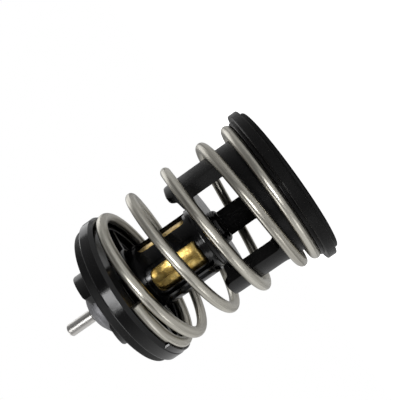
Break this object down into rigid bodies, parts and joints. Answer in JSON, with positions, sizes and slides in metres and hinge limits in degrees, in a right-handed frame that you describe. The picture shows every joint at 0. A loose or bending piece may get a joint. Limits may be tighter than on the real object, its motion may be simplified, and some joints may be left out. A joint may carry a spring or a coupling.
{
  "type": "engine thermostat",
  "caption": "Cartridge wax thermostat: flanged frame with hooked legs, coil spring, sliding spool valve with face seal, brass wax element and piston pin.",
  "frame": {"origin": "centre of the flange's resting face, on the common axis", "axes": "+Z along the common axis towards the piston tip; one leg of the frame points along +Y"},
  "size_m": [0.052, 0.052, 0.084],
  "materials": {
    "frame_plastic": "satin black glass-filled moulding",
    "valve_plastic": "semi-gloss black moulding",
    "seal_rubber": "matt black rubber",
    "spring_steel": "bright drawn stainless wire",
    "cup_brass": "drawn brass, slightly dull",
    "wax": "wax with copper powder",
    "sleeve_rubber": "moulded rubber",
    "washer_plastic": "white fluoropolymer",
    "head_metal": "fine matt grey",
    "pin_chrome": "ground and polished steel"
  },
  "bodies": {
    "frame": {"frame": "frame_plastic", "flange_seal": "seal_rubber", "spring": "spring_steel"},
    "valve": {"valve_body": "valve_plastic", "valve_seal": "seal_rubber", "wax_cup": "cup_brass", "wax_charge": "wax", "rubber_sleeve": "sleeve_rubber", "backing_washer": "washer_plastic", "guide_head": "head_metal", "element_ring_seal": "seal_rubber", "pin_wiper": "sleeve_rubber"},
    "piston": {"piston_pin": "pin_chrome"}
  },
  "joints": [
    {"name": "valve_slide", "type": "slide", "parent": "frame", "child": "valve", "axis": [0, 0, -1], "range_m": [0, 0.0125], "stiffness_N_per_m": 3000, "springref_m": -0.0004, "deforming": ["spring"]},
    {"name": "piston_slide", "type": "slide", "parent": "valve", "child": "piston", "axis": [0, 0, 1], "range_m": [0, 0.0125]}
  ],
  "couplings": [
    {"joint": "piston_slide", "follows": "valve_slide", "ratio": 1}
  ]
}
